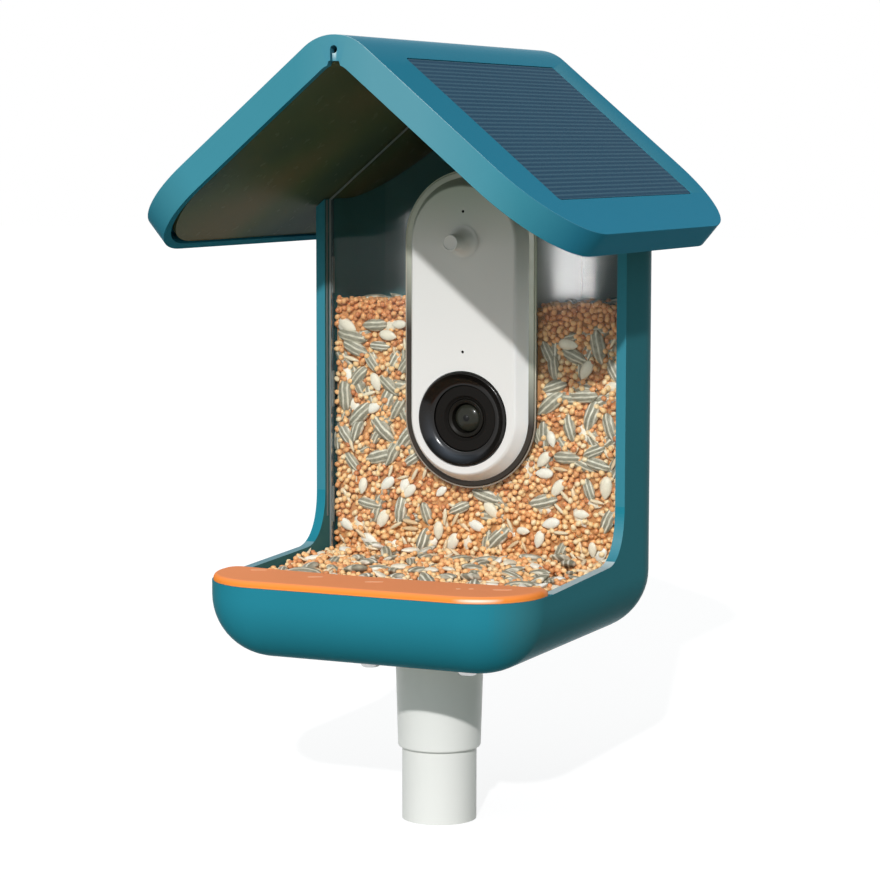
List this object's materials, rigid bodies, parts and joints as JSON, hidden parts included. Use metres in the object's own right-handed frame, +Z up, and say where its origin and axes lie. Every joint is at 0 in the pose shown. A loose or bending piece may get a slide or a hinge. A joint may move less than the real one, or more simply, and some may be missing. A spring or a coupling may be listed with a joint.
{
  "type": "smart bird feeder",
  "caption": "Gabled smart bird feeder with solar roof, clear seed hopper, tray with perch and a slide-out camera module, on a pole adapter.",
  "frame": {"origin": "on the pole's axis at its lower end", "axes": "+Z up along the pole, -Y the feeder's front, +X to the right of someone who looks at its front"},
  "size_m": [0.1674, 0.1739, 0.2788],
  "materials": {
    "teal_plastic": "fine moulded satin",
    "liner_plastic": "smooth dark gloss",
    "orange_plastic": "satin moulded",
    "clear_plastic": "clear polished",
    "solar_glass": "dark blue laminate with fine lines",
    "white_plastic": "off-white satin",
    "gasket_rubber": "smooth dark seal",
    "dark_plastic": "satin black",
    "gloss_black": "gloss black",
    "lens_glass": "coated lens",
    "steel": "plain steel",
    "board_green": "solder mask",
    "cell_sleeve": "shrink sleeve",
    "light_lens": "diffuser",
    "seed_mix": "loose millet and sunflower seed"
  },
  "bodies": {
    "feeder": {"housing_shell": "teal_plastic", "perch_cover": "orange_plastic", "seed_window": "clear_plastic", "seed_fill": "seed_mix", "hinge_bracket_right": "teal_plastic", "hinge_bracket_left": "teal_plastic", "hinge_pin": "steel", "pole_adapter": "white_plastic", "pole_tube": "white_plastic", "adapter_screw_1": "steel", "adapter_washer_1": "steel", "adapter_screw_2": "steel", "adapter_washer_2": "steel", "adapter_screw_3": "steel", "adapter_washer_3": "steel", "adapter_screw_4": "steel", "adapter_washer_4": "steel"},
    "roof": {"roof_shell": "teal_plastic", "roof_liner": "liner_plastic", "solar_panel_right": "solar_glass", "solar_panel_left": "solar_glass", "hinge_leaf": "teal_plastic"},
    "camera": {"camera_front": "white_plastic", "camera_gasket": "gasket_rubber", "camera_case": "white_plastic", "lens_ring": "gloss_black", "lens_baffle": "dark_plastic", "lens_barrel": "dark_plastic", "lens_glass": "lens_glass", "lens_inner_element": "lens_glass", "lens_holder": "dark_plastic", "accessory_peg": "white_plastic", "main_board": "board_green", "battery_cell_right": "cell_sleeve", "battery_cell_left": "cell_sleeve", "battery_cradle": "dark_plastic", "speaker": "dark_plastic", "microphone": "steel", "status_light": "light_lens", "charging_port": "steel", "button_switch": "dark_plastic"},
    "button": {"power_button": "gasket_rubber"},
    "flap": {"port_flap": "gasket_rubber"}
  },
  "joints": [
    {"name": "roof_hinge", "type": "hinge", "parent": "feeder", "child": "roof", "pos_m": [0, 0.086, 0.24], "axis": [-1, 0, 0], "range_deg": [0, 95]},
    {"name": "camera_slide", "type": "slide", "parent": "feeder", "child": "camera", "axis": [0, -1, 0], "range_m": [0, 0.05]},
    {"name": "power_button_press", "type": "slide", "parent": "camera", "child": "button", "axis": [0, -1, 0], "range_m": [0, 0.0008], "stiffness_N_per_m": 800, "springref_m": -0.0008},
    {"name": "port_flap_hinge", "type": "hinge", "parent": "camera", "child": "flap", "pos_m": [0, 0.0802, 0.1458], "axis": [-1, 0, 0], "range_deg": [0, 100]}
  ]
}
